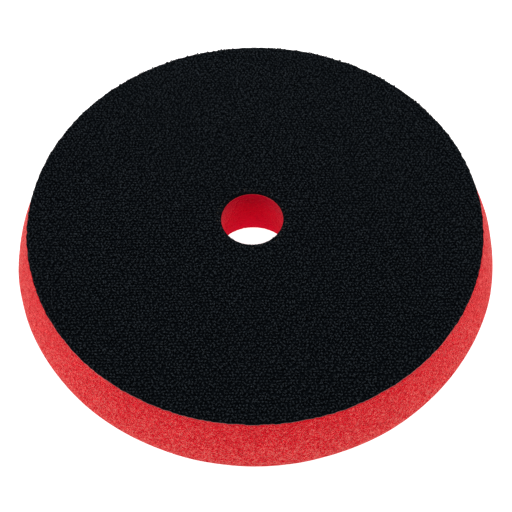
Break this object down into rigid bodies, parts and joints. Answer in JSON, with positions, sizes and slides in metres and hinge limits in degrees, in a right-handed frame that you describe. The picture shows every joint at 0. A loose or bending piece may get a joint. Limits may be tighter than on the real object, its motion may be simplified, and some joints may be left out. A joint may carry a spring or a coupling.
{
  "type": "foam polishing pad",
  "caption": "Round foam polishing pad: tapered open-cell foam disc with a rounded edge, a loop fabric backing and a centre hole.",
  "frame": {"origin": "centre of the flat working face, in its plane, which is the face the pad rests on", "axes": "+Z along the pad's axis, from the foam working face up to the loop backing; +X and +Y lie in the working face"},
  "size_m": [0.16, 0.16, 0.025],
  "materials": {
    "foam": "matte open-cell polyurethane foam, red",
    "hot_melt": "satin hot-melt laminating film",
    "loop_pile": "brushed nylon loop pile, black"
  },
  "bodies": {
    "root": {"foam_disc": "foam", "adhesive_film": "hot_melt", "loop_backing": "loop_pile"}
  },
  "joints": []
}
